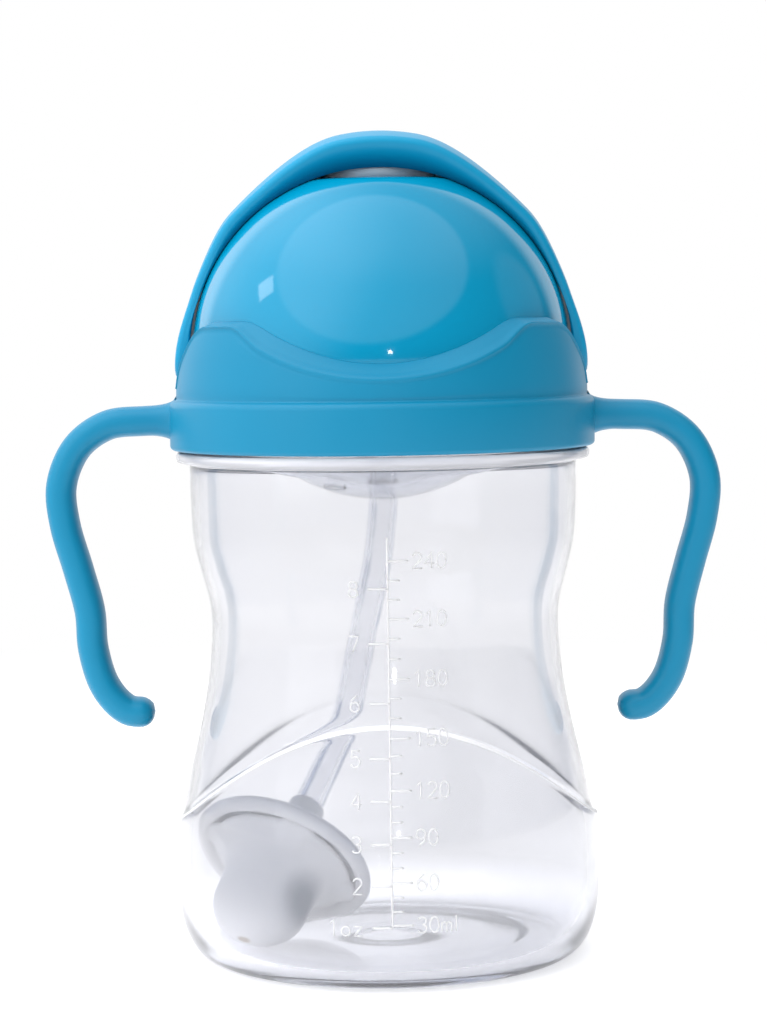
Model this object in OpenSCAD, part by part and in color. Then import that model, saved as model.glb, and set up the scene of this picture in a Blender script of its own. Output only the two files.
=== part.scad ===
// Sippy cup with two handles, a flip hood and a weighted straw.
// Millimetres. Z is up, the front of the cup faces -Y, and the origin is the middle of the base.

/* [Cup] */
// Widest radius of the belly
belly_r = 38.35; // [37:0.05:39]
// Radius at the narrow waist
waist_r = 31.2; // [30:0.1:33]
// Outer radius of the neck under the bead
neck_r = 34.7; // [34.4:0.1:35]
// Wall thickness of the cup
cup_wall = 1.4; // [1:0.1:1.8]
// How far the belly stands out below the arched crest
crest_step = 0.9; // [0.4:0.1:1.2]
// Height of the crest at the front and back
crest_top = 45.2; // [40:0.5:48]
// Height of the crest at the two sides
crest_low = 24.6; // [22:0.5:28]

/* [Collar] */
// Outer radius of the collar's lower band
collar_r = 38.1; // [37.8:0.1:39]
// Height of the collar's lower edge
collar_low = 91.4; // [91.3:0.1:92]
// Height of the collar's top edge at the front
valley_z = 106.8; // [105.6:0.2:108]
// Height of the collar's two front peaks
peak_z = 114.3; // [113.1:0.2:114.5]
// Thread pitch
pitch = 4; // [3.5:0.5:4]

/* [Handles] */
// Thickness of a handle seen from the front
handle_t = 5.4; // [4.5:0.1:6.5]
// Width of a handle from front to back
handle_w = 8; // [6:0.5:10]

/* [Lid] */
// Radius of the dome
dome_r = 33.8; // [33.7:0.05:33.9]
// Height of the dome's middle and of the hood's hinge
hinge_z = 108.5; // [108:0.1:109]
// Height of the flat on top of the dome
dome_flat_z = 139.8; // [139.5:0.1:140]
// Gap between the dome and the hood
hood_gap = 0.4; // [0.35:0.05:0.5]
// Wall thickness of the hood's arms
hood_wall = 1.3; // [1.2:0.1:1.5]
// Radius of the hinge studs
stud_r = 1.95; // [1.8:0.05:2.2]

/* [Straw and weight] */
// Outer radius of the straw
straw_r = 2.6; // [2.4:0.1:2.7]
// Bore radius of the straw
straw_bore = 1.5; // [1.2:0.1:1.7]
// Outer radius of the weight's umbrella
umbrella_r = 16.7; // [15.7:0.2:16.7]
// Radius of the weight's bulb
bulb_r = 8.3; // [8:0.1:8.6]

/* [Hidden] */
$fn = 96;
far = 200;
gap = 0.3;
stud_clear = 0.05;

// Cup: stations of the outer wall above the belly, as [height, radius].
foot_r = 31;
foot_inner_r = 25;
floor_z = 2.5;
belly_z = 16.4;
bead_low = 89.1;
bead_high = 91.1;
bead_r = 37.1;
rim_z = 99.6;
rim_r = 34.3;
cup_stations = [
    [belly_z, belly_r - crest_step], [26.5, 36.9], [34, 35.4], [42, 33.5], [50, 32],
    [58.5, waist_r], [64, 31.5], [70, 33.05], [75.5, 34.25], [82, 34.6], [bead_low, neck_r]
];
thread_depth = 1.1;
thread_half = 0.6;
thread_start = 92.8;

// Collar
collar_bore = 36.2;
ledge_z = 100.4;
shoulder_r = 36.9;
wave_bend = 0.0145;
back_z = 103.4;
flange_low = 100.75;
flange_high = 102.2;
flange_r = 35.8;
// The side view of a wing's top edge, from beside the hood's arm to the front peak, as [y, z].
wing_side = [[-5.2, back_z], [-7.1, 106.1], [-10.9, 109.4], [-14.2, 112.6], [-18, peak_z + 0.5]];

// Handles: the middle line of the right handle in the X-Z plane, from the collar to the tip.
handle_line = [
    [37, 96.6], [43, 96.6], [49.5, 95.9], [55, 92], [57.9, 85.3], [57.4, 78],
    [55.2, 70], [53.3, 62.5], [52.8, 55.5], [50.8, 48.8], [46.8, 44.4], [41.8, 44.1]
];

// Hood
hood_in_r = dome_r + hood_gap;
hood_out_r = hood_in_r + hood_wall;
crown = 1;
brim_lift = 2.8;
cavity_lift = 3.8;
arm_half = 4.7;
brim_front = 6.8;
brim_back = 11.8;
brim_h = 38;

// Spout: it lies forward over its pad, from its hinge line to its tip inside the brim.
pad_r = 9.5;
pad_top_z = 141;
spout_hinge = [0, 7.8, 143.05];
spout_len = 15.2;
spout_pitch = 2;
spout_w = 8.4;
spout_t = 3.4;

// Bowl
bowl_z = 113;
bowl_r = 31;
bowl_wall = 2.4;
stem_end = 83.3;

// Straw route from just below the stem into the bore of the weight's spigot.
straw_route = [
    [0, 0, 83], [0, 0, 81.5], [-0.3, 0.4, 78], [-1, 1.5, 72], [-2.2, 3.2, 66], [-3.5, 5.1, 60],
    [-4.7, 7, 54], [-5.7, 8.7, 49], [-6.6, 9.9, 44.5], [-7.7, 10.5, 40.5], [-9, 10.3, 37],
    [-10.5, 9.3, 33.8], [-11.9, 7.7, 31], [-13.3, 5.2, 28.3], [-14.7, 2.6, 25.8], [-16.5, -0.9, 22.4]
];

// Weight: the middle of the umbrella's rim, the tilt of its axis, the way it leans and its spin.
weight_pos = [-18.9, -5.6, 17.8];
weight_tilt = 49;
weight_turn = 63;
weight_spin = 34;
spigot_h = 12.2;
bulb_mid = -10.2;
core_r = 6;

function smooth(t) = let (u = max(0, min(1, t))) u * u * (3 - 2 * u);

// One point of a Catmull-Rom curve between b and c.
function curve_point(a, b, c, d, t) =
    0.5 * (2 * b + (c - a) * t + (2 * a - 5 * b + 4 * c - d) * t * t + (3 * b - a - 3 * c + d) * t * t * t);

// A smooth curve through all the points, with the given number of steps between neighbours.
function curve(p, steps) = [
    for (i = [0 : len(p) - 2], s = [0 : steps - 1])
        curve_point(p[max(i - 1, 0)], p[i], p[i + 1], p[min(i + 2, len(p) - 1)], s / steps),
    p[len(p) - 1]
];

function arc(centre, r, from, to, steps) = [
    for (i = [0 : steps])
        let (a = from + (to - from) * i / steps)
        [centre[0] + r * cos(a), centre[1] + r * sin(a)]
];

function swapped(p) = [for (q = p) [q[1], q[0]]];
function reversed(p) = [for (i = [len(p) - 1 : -1 : 0]) p[i]];
function moved(p, dr) = [for (q = p) [q[0] + dr, q[1]]];

// The cup's wall from the belly to the bead, as [radius, height], pushed out by grow.
function wall_line(grow) = moved(swapped(curve(cup_stations, 3)), grow);

// The round corner from the foot up to the belly: a quarter of an ellipse.
function corner_line(grow, steps) = [
    for (i = [0 : steps])
        let (a = 90 * i / steps)
        [foot_r + (belly_r - crest_step + grow - foot_r) * pow(sin(a), 0.8), belly_z * (1 - pow(cos(a), 0.8))]
];

// A helical rib round Z between two radii, from angle a0 on, on the helix that passes thread_start
// at angle 0. It narrows to half its width at its crest: at r_out on an outside thread, at r_in
// on an inside one.
module helix_rib(r_in, r_out, drop, a0, sweep, crest_out) {
    steps = round(sweep / 10);
    half_in = crest_out ? thread_half : thread_half / 2;
    half_out = crest_out ? thread_half / 2 : thread_half;
    section = [[r_in, -half_in], [r_out, -half_out], [r_out, half_out], [r_in, half_in]];
    points = [
        for (i = [0 : steps], q = section)
            let (a = a0 + sweep * i / steps)
            [q[0] * cos(a), q[0] * sin(a), thread_start - drop + pitch * a / 360 + q[1]]
    ];
    sides = [
        for (i = [0 : steps - 1], k = [0 : 3])
            let (k2 = (k + 1) % 4)
            [4 * i + k, 4 * i + k2, 4 * i + 4 + k2, 4 * i + 4 + k]
    ];
    start_cap = [[3, 2, 1, 0]];
    end_cap = [[for (k = [0 : 3]) 4 * steps + k]];
    polyhedron(points, concat(start_cap, sides, end_cap), convexity = 6);
}

module ring(r_out, r_in, z_low, z_high) {
    rotate_extrude()
        translate([r_in, z_low])
            square([r_out - r_in, z_high - z_low]);
}

module cup() {
    inner = moved(wall_line(0), -cup_wall);
    floor_arc = [
        for (p = corner_line(0, 6))
            [p[0] - cup_wall, floor_z + p[1] * (belly_z - floor_z) / belly_z]
    ];
    outline = concat(
        [[0, 1], [foot_inner_r - 1, 1], [foot_inner_r, 0]],
        corner_line(0, 8),
        wall_line(0),
        [[bead_r - 0.5, bead_low], [bead_r, bead_low + 0.5], [bead_r, bead_high - 0.5], [bead_r - 0.5, bead_high]],
        [[rim_r, bead_high], [rim_r, rim_z], [rim_r - cup_wall, rim_z]],
        reversed(inner),
        reversed(floor_arc),
        [[0, floor_z]]
    );
    crest = [
        for (x = [-40 : 4 : 40])
            [x, crest_top - (crest_top - crest_low) * pow(x / (belly_r - crest_step), 2)]
    ];
    swell_outer = concat(corner_line(crest_step, 8), wall_line(crest_step));
    swell_inner = concat(corner_line(-0.4, 8), wall_line(-0.4));
    color("aliceblue", 0.4) {
        rotate_extrude() polygon(outline);
        intersection() {
            rotate_extrude() polygon(concat(swell_outer, reversed(swell_inner)));
            rotate([90, 0, 0])
                linear_extrude(height = far, center = true)
                    polygon(concat(crest, [[40, 0.6], [-40, 0.6]]));
        }
        helix_rib(rim_r - 0.3, rim_r + thread_depth, 0, 0, 450, true);
    }
}

module rim_seal() {
    color("gainsboro") ring(rim_r, rim_r - cup_wall, rim_z + 0.05, flange_low - 0.05);
}

// Height of the collar's top edge at a distance x from the middle, seen from the front: a
// parabola that rounds off into the level of the peaks.
function wave(x) =
    let (
        full = peak_z - valley_z,
        rise = wave_bend * x * x,
        round_off = 1.2,
        share = max(0, min(1, 0.5 + 0.5 * (full - rise) / round_off))
    )
    valley_z + full + (rise - full) * share - round_off * share * (1 - share);

function handle_side(line, half) = [
    for (i = [0 : len(line) - 1])
        let (
            d = line[min(i + 1, len(line) - 1)] - line[max(i - 1, 0)],
            n = [-d[1], d[0]] / norm(d)
        )
        line[i] + n * half
];

module handle() {
    line = curve(handle_line, 3);
    tip = line[len(line) - 1];
    rotate([90, 0, 0])
        linear_extrude(height = handle_w, center = true) {
            polygon(concat(handle_side(line, handle_t / 2), reversed(handle_side(line, -handle_t / 2))));
            translate(tip) circle(d = handle_t, $fn = 48);
        }
}

module handle_collar() {
    top_z = peak_z + 0.4;
    bore_r = dome_r + gap;
    shoulder = curve([[ledge_z, shoulder_r], [104, 36.75], [108.5, 36.3], [112, 35.6], [top_z, 34.9]], 2);
    body = concat(
        [[collar_bore, collar_low], [collar_r - 0.6, collar_low], [collar_r, collar_low + 0.8]],
        arc([collar_r - 1.2, ledge_z - 1.2], 1.2, 0, 90, 5),
        swapped(shoulder),
        reversed(arc([0, hinge_z], bore_r, 0, asin((top_z - hinge_z) / bore_r), 4)),
        [[bore_r, flange_high + 0.1], [collar_bore, flange_high + 0.1]]
    );
    front_edge = [for (x = [-37 : 1 : 37]) [x, wave(x)]];
    side_edge = concat(reversed(curve(wing_side, 3)), [[0, back_z]]);
    color("deepskyblue") {
        difference() {
            rotate_extrude() polygon(body);
            difference() {
                translate([-far / 2, -far / 2, back_z]) cube([far, far, far]);
                rotate([90, 0, 0])
                    linear_extrude(height = far / 2)
                        polygon(concat([[-37, 0]], front_edge, [[37, 0]]));
            }
            rotate([90, 0, 90])
                linear_extrude(height = far, center = true)
                    polygon(concat(side_edge, [[0, far], [-18, far]]));
        }
        difference() {
            for (side = [0, 180])
                rotate([0, 0, side]) handle();
            cylinder(r = collar_bore + 0.6, h = far);
        }
        helix_rib(rim_r + 0.6, collar_bore + 0.3, pitch / 2, 210, 340, false);
    }
}

module lid_dome() {
    wall = 2;
    flat_r = sqrt(pow(dome_r, 2) - pow(dome_flat_z - hinge_z, 2));
    top_angle = atan2(dome_flat_z - hinge_z, flat_r);
    boss_r = 3.8;
    boss_depth = 5;
    outline = concat(
        [[dome_r - wall, flange_low], [flange_r, flange_low], [flange_r, flange_high], [dome_r, flange_high]],
        arc([0, hinge_z], dome_r, 0, top_angle, 18),
        [[straw_r + 0.4, dome_flat_z], [straw_r + 0.4, dome_flat_z - wall]],
        reversed(arc([0, hinge_z], dome_r - wall, 0, top_angle - 1, 18))
    );
    color("dodgerblue")
        difference() {
            union() {
                rotate_extrude() polygon(outline);
                for (side = [-1, 1])
                    translate([side * (dome_r - boss_depth / 2 - 0.6), 0, hinge_z])
                        rotate([0, 90, 0]) cylinder(r = boss_r, h = boss_depth, center = true);
            }
            translate([0, 0, hinge_z])
                rotate([0, 90, 0]) cylinder(r = stud_r + stud_clear, h = far, center = true);
        }
}

module valve_bowl() {
    top_z = flange_low - 0.05;
    lip_z = 99.6;
    lip_r = rim_r - cup_wall - 0.5;
    start = asin((lip_z - bowl_z) / bowl_r);
    hole_r = straw_r + gap;
    end = -acos(hole_r / bowl_r);
    inner_start = asin((lip_z - bowl_z) / (bowl_r - bowl_wall));
    inner_end = -acos(hole_r / (bowl_r - bowl_wall));
    outline = concat(
        arc([0, bowl_z], bowl_r, start, end, 12),
        arc([0, bowl_z], bowl_r - bowl_wall, inner_end, inner_start, 12),
        [[26, top_z], [lip_r, top_z], [lip_r, lip_z]]
    );
    color("whitesmoke", 0.6)
        difference() {
            rotate_extrude() polygon(outline);
            translate([-8.5, -10, 86]) cube([3, 0.8, 8], center = true);
        }
}

module spout_base() {
    edge_r = 0.6;
    stem = [[straw_bore, stem_end], [straw_r, stem_end], [straw_r, dome_flat_z], [pad_r, dome_flat_z]];
    pad_edge = arc([pad_r - edge_r, pad_top_z - edge_r], edge_r, 0, 90, 5);
    color("whitesmoke", 0.6)
        rotate_extrude() polygon(concat(stem, pad_edge, [[straw_bore, pad_top_z]]));
}

// The hood's radius from the hinge axis at a distance x from the middle: a sphere of radius r
// that the crown widens above the arms, with a lifted brim in the middle.
function brim_r(x, r, crown, lift, half, fade) =
    let (wide = r + crown * (1 - smooth((abs(x) - 26) / 7)))
    sqrt(max(0, wide * wide - x * x)) + lift * (1 - smooth((abs(x) - half) / fade));

// A solid of revolution round the hinge axis with the radius brim_r.
module spun(r, crown, lift, half, fade) {
    line = [
        for (a = [-90 : 5 : 90])
            let (x = r * sin(a))
            [brim_r(x, r, crown, lift, half, fade), x]
    ];
    translate([0, 0, hinge_z])
        rotate([0, 90, 0])
            rotate_extrude() polygon(line);
}

// The hood's outline seen from the side: narrow at the hinge, wide at the brim. The
// inset narrows it.
module fan(inset) {
    heights = [0 : 3 : 45];
    front = [for (h = heights) [h, -arm_half - brim_front * pow(h / brim_h, 1.5) + inset]];
    back = [for (h = heights) [h, arm_half + brim_back * pow(h / brim_h, 1.5) - inset]];
    translate([0, 0, hinge_z])
        rotate([0, -90, 0])
            linear_extrude(height = far, center = true) {
                polygon(concat(front, reversed(back)));
                circle(r = arm_half - inset);
            }
}

module flip_hood() {
    brim_wall = 2.2;
    arm_in = 34.5;
    color("deepskyblue") {
        difference() {
            intersection() {
                spun(hood_out_r, crown, brim_lift, 7, 19);
                fan(0);
            }
            spun(hood_in_r, 0, 0, 0, 1);
            intersection() {
                spun(hood_in_r, 0, cavity_lift, 6, 6);
                fan(brim_wall);
            }
        }
        for (side = [-1, 1])
            translate([side * (arm_in + 1.35), 0, hinge_z])
                rotate([0, 90, 0]) cylinder(r = arm_half, h = 2.7, center = true);
        for (side = [-1, 1])
            translate([side * (arm_in - 1.2), 0, hinge_z])
                rotate([0, 90, 0]) cylinder(r = stud_r, h = 4.6, center = true);
    }
}

module spout_section(w, t, length) {
    linear_extrude(height = length) {
        square([w - t, t], center = true);
        for (side = [-1, 1])
            translate([side * (w - t) / 2, 0]) circle(d = t, $fn = 32);
    }
}

module spout() {
    bore_w = 5;
    bore_t = 1.2;
    color("whitesmoke", 0.7)
        translate(spout_hinge)
            rotate([90 - spout_pitch, 0, 0])
                difference() {
                    union() {
                        spout_section(spout_w, spout_t, spout_len);
                        rotate([0, 90, 0]) cylinder(d = spout_t, h = spout_w - spout_t, center = true);
                        for (side = [-1, 1])
                            translate([side * (spout_w - spout_t) / 2, 0, 0]) sphere(d = spout_t);
                    }
                    translate([0, 0, 2]) spout_section(bore_w, bore_t, spout_len);
                }
}

// A round tube through the points of a line, as one polyhedron.
module tube(line, r, sides) {
    n = len(line);
    points = [
        for (i = [0 : n - 1], k = [0 : sides - 1])
            let (
                d = line[min(i + 1, n - 1)] - line[max(i - 1, 0)],
                along = d / norm(d),
                u = cross([0, 1, 0], along) / norm(cross([0, 1, 0], along)),
                v = cross(along, u),
                a = 360 * k / sides
            )
            line[i] + r * (cos(a) * u + sin(a) * v)
    ];
    walls = [
        for (i = [0 : n - 2], k = [0 : sides - 1])
            let (k2 = (k + 1) % sides)
            [sides * i + k, sides * i + sides + k, sides * i + sides + k2, sides * i + k2]
    ];
    first = [[for (k = [0 : sides - 1]) k]];
    last = [[for (k = [sides - 1 : -1 : 0]) sides * (n - 1) + k]];
    polyhedron(points, concat(first, walls, last), convexity = 4);
}

module straw_tube() {
    color("whitesmoke", 0.6) tube(straw_route, straw_r, 12);
}

// Places what is drawn round Z at the weight's own place and lean.
module at_weight() {
    translate(weight_pos)
        rotate([0, weight_tilt, weight_turn])
            rotate([0, 0, weight_spin]) children();
}

module weight_cap() {
    shell = 1.6;
    bead = 1.6;
    window_in = 9.6;
    window_out = 13.2;
    top_line = [[3.4, 8], [6, 7.2], [10, 5], [14, 2.2]];
    outline = concat(
        [[straw_r + 0.05, spigot_h], [3.4, spigot_h - 0.6]],
        curve(top_line, 2),
        arc([umbrella_r - bead, 0], bead, 60, -120, 8),
        reversed(curve([for (p = top_line) p - [0.6, shell]], 2)),
        [[straw_r + 0.05, 6.4]]
    );
    color("lightgray")
        at_weight()
            difference() {
                rotate_extrude() polygon(outline);
                for (k = [0 : 3])
                    rotate([0, 0, 45 + 90 * k])
                        rotate_extrude(angle = 60, start = -30)
                            translate([window_in, -1]) square([window_out - window_in, 10]);
            }
}

module weight_bulb() {
    top_z = 4.4;
    bell = curve([[bulb_r, bulb_mid], [8.4, -8], [8.8, -5.6], [9.8, -3.6], [11.4, -2.1], [12.8, -1.3]], 2);
    bell_edge = [[13, -0.8], [12.7, -0.3], [9, 0.6], [7, top_z], [0, top_z]];
    color("gainsboro")
        at_weight()
            difference() {
                rotate_extrude()
                    polygon(concat(arc([0, bulb_mid], bulb_r, -90, 0, 10), bell, bell_edge));
                translate([0, 0, bulb_mid]) sphere(r = core_r + 0.05);
            }
}

module weight_core() {
    color("silver") at_weight() translate([0, 0, bulb_mid]) sphere(r = core_r);
}

cup();
rim_seal();
handle_collar();
lid_dome();
valve_bowl();
spout_base();
flip_hood();
spout();
straw_tube();
weight_cap();
weight_bulb();
weight_core();
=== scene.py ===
import math

import bmesh
import bpy
from mathutils import Matrix, Vector


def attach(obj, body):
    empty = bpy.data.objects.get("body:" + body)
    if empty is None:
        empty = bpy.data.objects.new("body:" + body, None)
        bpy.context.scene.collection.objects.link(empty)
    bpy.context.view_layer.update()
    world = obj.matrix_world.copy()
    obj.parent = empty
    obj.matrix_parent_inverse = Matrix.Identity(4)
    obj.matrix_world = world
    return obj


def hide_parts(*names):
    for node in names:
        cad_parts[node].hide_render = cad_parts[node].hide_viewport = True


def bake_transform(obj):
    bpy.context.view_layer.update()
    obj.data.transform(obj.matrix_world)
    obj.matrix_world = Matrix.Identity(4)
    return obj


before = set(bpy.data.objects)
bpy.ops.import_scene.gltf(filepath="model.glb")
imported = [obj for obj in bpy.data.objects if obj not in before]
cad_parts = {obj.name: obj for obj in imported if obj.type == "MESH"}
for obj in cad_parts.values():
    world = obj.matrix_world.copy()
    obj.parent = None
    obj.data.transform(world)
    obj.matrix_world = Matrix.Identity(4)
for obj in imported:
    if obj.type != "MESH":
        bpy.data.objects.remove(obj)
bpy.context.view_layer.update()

# Sippy cup: two handles, flip hood, folding spout and weighted straw. Sizes below are in millimetres.
# Z is up, the front of the cup faces -Y, and an azimuth is measured from the front towards +X.
MM = 0.001
ROUND = 256

# Cup. Its wall line runs from the belly to the bead, as (height, radius), without the belly's crest step.
FOOT_R = 31.0
FOOT_INNER_R = 25.0
BASE_Z = 1.0
GATE_R = 6.2
FLOOR_Z = 2.5
BELLY_Z = 16.4
BELLY_R = 38.35
CORNER_BEND = 0.8
WALL = 1.4
BEAD_LOW = 89.1
BEAD_HIGH = 91.1
BEAD_R = 37.1
NECK_TOP = 96.0
RIM_Z = 99.6
RIM_R = 34.3
CREST_STEP = 0.9
CREST_TOP = 45.2
CREST_TOP_BEHIND = 42.2
CREST_LOW = 24.6
SPREAD_BEHIND = 1.9
PLAIN_R = BELLY_R - CREST_STEP
STATIONS = [
    (BELLY_Z, PLAIN_R), (26.5, 36.9), (34, 35.4), (42, 33.5), (50, 32), (58.5, 31.2),
    (64, 31.5), (70, 33.05), (75.5, 34.25), (82, 34.6), (BEAD_LOW, 34.7),
]
THREAD_START = 92.8
THREAD_PITCH = 4.0
THREAD_TURNS = 1.25
THREAD_OUT = 1.1

# Collar. The wing's side is drawn as (distance forward, height), and the shoulder as (height, radius).
COLLAR_R = 38.1
COLLAR_BORE = 36.2
COLLAR_LOW = 91.4
LEDGE_Z = 100.4
FLANGE_LOW = 100.8
FLANGE_TOP = 102.3
FLANGE_R = 35.8
VALLEY_Z = 106.8
PEAK_Z = 114.3
WAVE_R = 34.5
WAVE_BEND = 0.0145
WAVE_ROUND = 1.2
WING_R = 36.0
WING_SHARP = 2.2
BACK_Z = 103.4
LIP_H = 2.5
RIDGE = 0.3
SHOULDER = [(LEDGE_Z, 36.9), (104, 36.75), (108.5, 36.3), (112, 35.6), (114.7, 34.9)]
WING_SIDE = [(5.2, BACK_Z), (7.1, 106.1), (10.9, 109.4), (14.2, 112.6), (18, PEAK_Z + 0.5)]

# Handles: the middle line of the right handle, from the collar to the tip.
HANDLE_T = 5.4
HANDLE_W = 8.0
ROOT_LEN = 5.0
ROOT_MORE_T = 1.7
ROOT_MORE_W = 1.5
HANDLE_LINE = [
    (37, 96.6), (43, 96.6), (49.5, 95.9), (55, 92), (57.9, 85.3), (57.4, 78),
    (55.2, 70), (53.3, 62.5), (52.8, 55.5), (50.8, 48.8), (46.8, 44.4), (41.8, 44.1),
]

# Lid
HINGE_Z = 108.5
DOME_R = 33.8
DOME_WALL = 2.0
DOME_FLAT_Z = 139.0
PAD_R = 10.2
PAD_TOP_Z = 141.0
STEM_END = 83.3
TUBE_R = 2.6
TUBE_BORE = 1.5
BOWL_Z = 113.0
BOWL_R = 31.0
BOWL_WALL = 2.4

# Hood
HOOD_IN = 34.2
HOOD_OUT = 35.5
CROWN = 1.0
FLARE = 1.6
BRIM_LIFT = 2.8
CAVITY_LIFT = 3.8
ARM_HALF = 4.7
BRIM_FRONT = 6.8
BRIM_BACK = 11.8
BRIM_H = 38.0
STUD_R = 1.95
STUD_FROM = 31.2
STUD_TO = 35.0

# Spout
SPOUT_HINGE = (0, 7.8, 143.05)
SPOUT_LEN = 15.2
SPOUT_PITCH = 2.0
SPOUT_W = 8.4
SPOUT_T = 3.4

# Straw and weight
STRAW_ROUTE = [
    (0, 0, 83), (0, 0, 81.5), (-0.3, 0.4, 78), (-1, 1.5, 72), (-2.2, 3.2, 66), (-3.5, 5.1, 60),
    (-4.7, 7, 54), (-5.7, 8.7, 49), (-6.6, 9.9, 44.5), (-7.7, 10.5, 40.5), (-9, 10.3, 37),
    (-10.5, 9.3, 33.8), (-11.9, 7.7, 31), (-13.3, 5.2, 28.3), (-14.7, 2.6, 25.8), (-16.5, -0.9, 22.4),
]
WEIGHT_POS = (-18.9, -5.6, 17.8)
WEIGHT_TILT = 49
WEIGHT_TURN = 63
WEIGHT_SPIN = 34
BULB_MID = -10.2
BULB_R = 8.3


def mix(a, b, t):
    """From a, where t is 0, to b, where t is 1."""
    return a + (b - a) * t


def ease(value, start, end):
    """A smooth step from 0 to 1 as a value goes from start to end."""
    t = max(0.0, min(1.0, (value - start) / (end - start)))
    return t * t * (3 - 2 * t)


def spaced(start, end, steps):
    """Evenly spaced values from start to end, with both."""
    return [mix(start, end, i / steps) for i in range(steps + 1)]


def whole_turn(steps):
    """Evenly spaced angles round a circle, in radians."""
    return [2 * math.pi * k / steps for k in range(steps)]


def curve(points, steps):
    """A smooth curve through all the points, with the same number of steps between neighbours."""
    line = []
    last = len(points) - 1
    for i in range(last):
        a, b, c, d = (Vector(points[max(0, min(last, i + k))]) for k in (-1, 0, 1, 2))
        for s in range(steps):
            t = s / steps
            line.append(0.5 * (2 * b + (c - a) * t + (2 * a - 5 * b + 4 * c - d) * t * t
                               + (3 * b - a - 3 * c + d) * t ** 3))
    line.append(Vector(points[-1]))
    return line


def along(line, where):
    """The second value of a line of (first, second) pairs, read at one first value."""
    for a, b in zip(line, line[1:]):
        if where <= b[0]:
            return mix(a[1], b[1], (where - a[0]) / (b[0] - a[0]))
    return line[-1][1]


def arc(centre, r, start, end, steps):
    """Points of a circle from one angle to another, in degrees."""
    angles = [math.radians(a) for a in spaced(start, end, steps)]
    return [(centre[0] + r * math.cos(a), centre[1] + r * math.sin(a)) for a in angles]


def rounded(corners, radius, steps=4):
    """A closed outline whose corners are rounded off."""
    line = []
    for i, here in enumerate(corners):
        here = Vector(here)
        before = Vector(corners[i - 1]) - here
        after = Vector(corners[(i + 1) % len(corners)]) - here
        cut = min(radius, 0.45 * before.length, 0.45 * after.length)
        first = here + before.normalized() * cut
        last = here + after.normalized() * cut
        for s in range(steps + 1):
            t = s / steps
            line.append((1 - t) ** 2 * first + 2 * t * (1 - t) * here + t * t * last)
    return line


def finish_mesh(name, bm, body, replaces=()):
    """Turns a bmesh in millimetres into a smooth piece that rides on a body."""
    bmesh.ops.remove_doubles(bm, verts=bm.verts, dist=1e-4)
    bmesh.ops.scale(bm, vec=(MM, MM, MM), verts=bm.verts)
    bmesh.ops.recalc_face_normals(bm, faces=bm.faces)
    mesh = bpy.data.meshes.new(name)
    bm.to_mesh(mesh)
    bm.free()
    mesh.polygons.foreach_set("use_smooth", [True] * len(mesh.polygons))
    piece = bpy.data.objects.new(name, mesh)
    bpy.context.scene.collection.objects.link(piece)
    if body:
        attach(piece, body)
    if replaces:
        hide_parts(*replaces)
    return piece


def add_grid(bm, rows, close_rows=False, close_columns=True, caps=False):
    """Faces between rows of points. Each row has the same number of points."""
    verts = [[bm.verts.new(p) for p in row] for row in rows]
    count = len(rows[0])
    for i in range(len(rows) - (0 if close_rows else 1)):
        a = verts[i]
        b = verts[(i + 1) % len(rows)]
        for k in range(count - (0 if close_columns else 1)):
            n = (k + 1) % count
            bm.faces.new((a[k], a[n], b[n], b[k]))
    if caps:
        bm.faces.new(list(reversed(verts[0])))
        bm.faces.new(verts[-1])


def grid_piece(name, rows, body, slot, replaces=(), **how):
    """A piece whose skin is one grid of points."""
    bm = bmesh.new()
    add_grid(bm, rows, **how)
    return finish_mesh(name, bm, body, replaces)


def around(r, z, azimuth):
    """A point at a radius, a height and an azimuth."""
    return Vector((r * math.sin(azimuth), -r * math.cos(azimuth), z))


def turn_rows(outline, steps=ROUND):
    """The rows of a solid of revolution, from an outline of (radius, height) points."""
    return [[around(r, z, azimuth) for azimuth in whole_turn(steps)] for r, z in outline]


def squared(angle, half_a, half_b, power_a, power_b):
    """A point of an oval whose sides are flattened by powers below 1."""
    c = math.cos(angle)
    s = math.sin(angle)
    return math.copysign(abs(c) ** power_a, c) * half_a, math.copysign(abs(s) ** power_b, s) * half_b


def tube_rows(line, radius, sides):
    """Round rows along a line in space. The radius is a number or a function of the share along it."""
    rows = []
    side = Vector((0, 1, 0))
    for i, here in enumerate(line):
        ahead = (line[min(i + 1, len(line) - 1)] - line[max(i - 1, 0)]).normalized()
        side = (side - ahead * side.dot(ahead)).normalized()
        up = ahead.cross(side)
        r = radius(i / (len(line) - 1)) if callable(radius) else radius
        rows.append([here + r * (math.cos(a) * side + math.sin(a) * up) for a in whole_turn(sides)])
    return rows


# ---- camera and straw

def make_camera():
    """A long lens in front of the cup and above its middle, tipped a little down."""
    distance = 507.3
    height = 113.66
    pitch = math.radians(3.845)
    roll = math.radians(-0.85)
    data = bpy.data.cameras.new("camera")
    data.lens = 99.16
    data.sensor_width = 36
    data.clip_start = 0.01
    camera = bpy.data.objects.new("camera", data)
    bpy.context.scene.collection.objects.link(camera)
    look = Matrix.Rotation(math.pi / 2 - pitch, 4, "X") @ Matrix.Rotation(roll, 4, "Z")
    camera.matrix_world = Matrix.Translation(Vector((0, -distance, height)) * MM) @ look
    bpy.context.scene.camera = camera


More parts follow.
